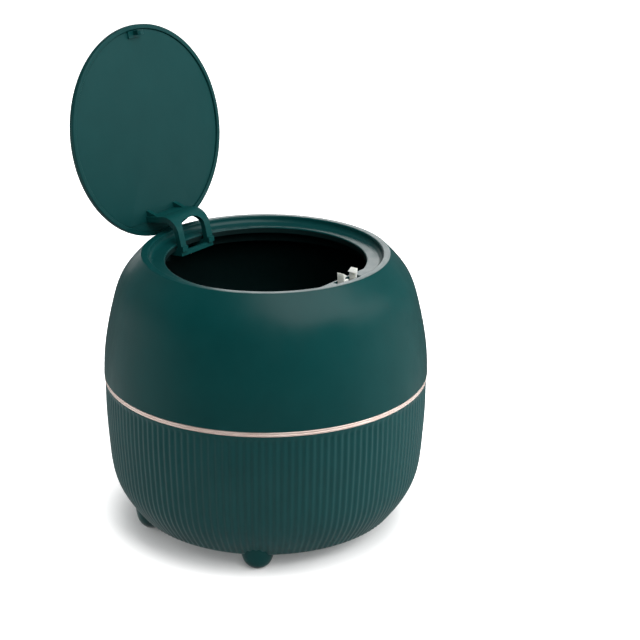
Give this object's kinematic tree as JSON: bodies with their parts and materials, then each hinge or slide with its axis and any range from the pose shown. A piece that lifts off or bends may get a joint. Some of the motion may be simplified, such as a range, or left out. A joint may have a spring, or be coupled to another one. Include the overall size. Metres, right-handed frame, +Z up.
{
  "type": "push top countertop bin",
  "caption": "Round two-part countertop bin on stub feet, with a sprung flip lid held shut by a push latch and opened by a press on the lid.",
  "frame": {"origin": "on the bin's axis, at the surface it stands on", "axes": "+Z up, +Y towards the lid's hinge, -Y towards the push latch"},
  "size_m": [0.17, 0.1775, 0.2543],
  "materials": {
    "body": "fine matt, dark teal",
    "band": "plated, rose gold",
    "latch": "natural, slightly see-through",
    "latch_dark": "plain, black",
    "steel": "bright, drawn",
    "pad": "soft, matt"
  },
  "bodies": {
    "base": {"lower_bucket": "body", "foot_pads": "pad", "trim_ring": "band"},
    "cover": {"upper_shell": "body", "seat_ring": "body", "seat_ring_screws": "steel", "hinge_pin": "steel", "pin_retainer": "steel", "hinge_spring": "steel", "latch_housing": "latch_dark", "latch_screws": "steel", "latch_spring": "steel", "latch_cam_pin": "steel"},
    "lid": {"lid_cover": "body", "lid_inner_panel": "body", "hinge_bracket": "body", "bracket_screws": "steel", "striker": "body"},
    "latch_slider": {"latch_slider": "latch", "jaw_pins": "steel"},
    "jaw_right": {"jaw_right": "latch"},
    "jaw_left": {"jaw_left": "latch"}
  },
  "joints": [
    {"name": "cover_lift", "type": "slide", "parent": "base", "child": "cover", "axis": [0, 0, 1], "range_m": [0, 0.06]},
    {"name": "lid_hinge", "type": "hinge", "parent": "cover", "child": "lid", "pos_m": [0, 0.0621, 0.1393], "axis": [1, 0, 0], "range_deg": [0, 100.6], "stiffness_Nm_per_rad": 0.012, "springref_deg": -34.38, "deforming": ["hinge_spring"]},
    {"name": "latch_press", "type": "slide", "parent": "cover", "child": "latch_slider", "axis": [0, 0, -1], "range_m": [0, 0.0065], "stiffness_N_per_m": 1, "springref_m": -0.004, "deforming": ["latch_spring"]},
    {"name": "jaw_right_pivot", "type": "hinge", "parent": "latch_slider", "child": "jaw_right", "pos_m": [0.004, -0.0525, 0.1375], "axis": [0, -1, 0], "range_deg": [0, 9]},
    {"name": "jaw_left_pivot", "type": "hinge", "parent": "latch_slider", "child": "jaw_left", "pos_m": [-0.004, -0.0525, 0.1375], "axis": [0, 1, 0], "range_deg": [0, 9]}
  ],
  "couplings": [
    {"joint": "latch_press", "follows": "lid_hinge", "m_per_rad": 0.0037},
    {"joint": "jaw_right_pivot", "follows": "lid_hinge", "ratio": 0.0894},
    {"joint": "jaw_left_pivot", "follows": "lid_hinge", "ratio": 0.0894}
  ]
}
